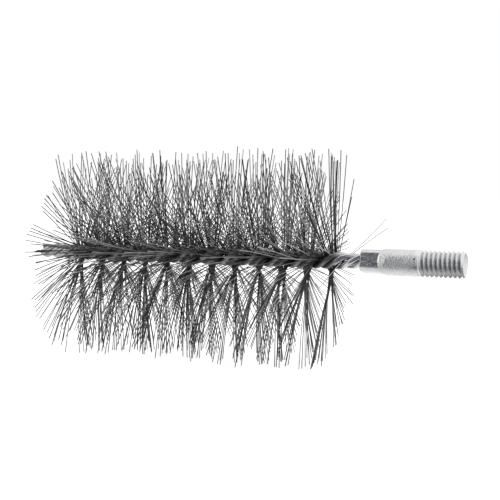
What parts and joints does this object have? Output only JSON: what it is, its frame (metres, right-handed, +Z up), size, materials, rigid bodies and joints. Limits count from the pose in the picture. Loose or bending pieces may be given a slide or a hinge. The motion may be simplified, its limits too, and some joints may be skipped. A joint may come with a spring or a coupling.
{
  "type": "flue brush",
  "caption": "Round twisted-wire flue brush with steel bristles and a threaded ferrule that screws onto a cleaning rod.",
  "frame": {"origin": "middle of the underside, on the surface that the brush lies on", "axes": "+X along the stem towards the threaded end, +Z up"},
  "size_m": [0.2252, 0.105, 0.1045],
  "materials": {
    "bristle_steel": "dark drawn steel wire",
    "stem_steel": "drawn steel wire, semi-bright",
    "zinc_plate": "bright zinc plate"
  },
  "bodies": {
    "root": {"bristle_row_01": "bristle_steel", "bristle_row_02": "bristle_steel", "bristle_row_03": "bristle_steel", "bristle_row_04": "bristle_steel", "bristle_row_05": "bristle_steel", "bristle_row_06": "bristle_steel", "bristle_row_07": "bristle_steel", "bristle_row_08": "bristle_steel", "bristle_row_09": "bristle_steel", "bristle_row_10": "bristle_steel", "bristle_row_11": "bristle_steel", "stem_wire_1": "stem_steel", "stem_wire_2": "stem_steel", "stem_wire_3": "stem_steel", "stem_wire_4": "stem_steel", "ferrule": "zinc_plate"}
  },
  "joints": []
}
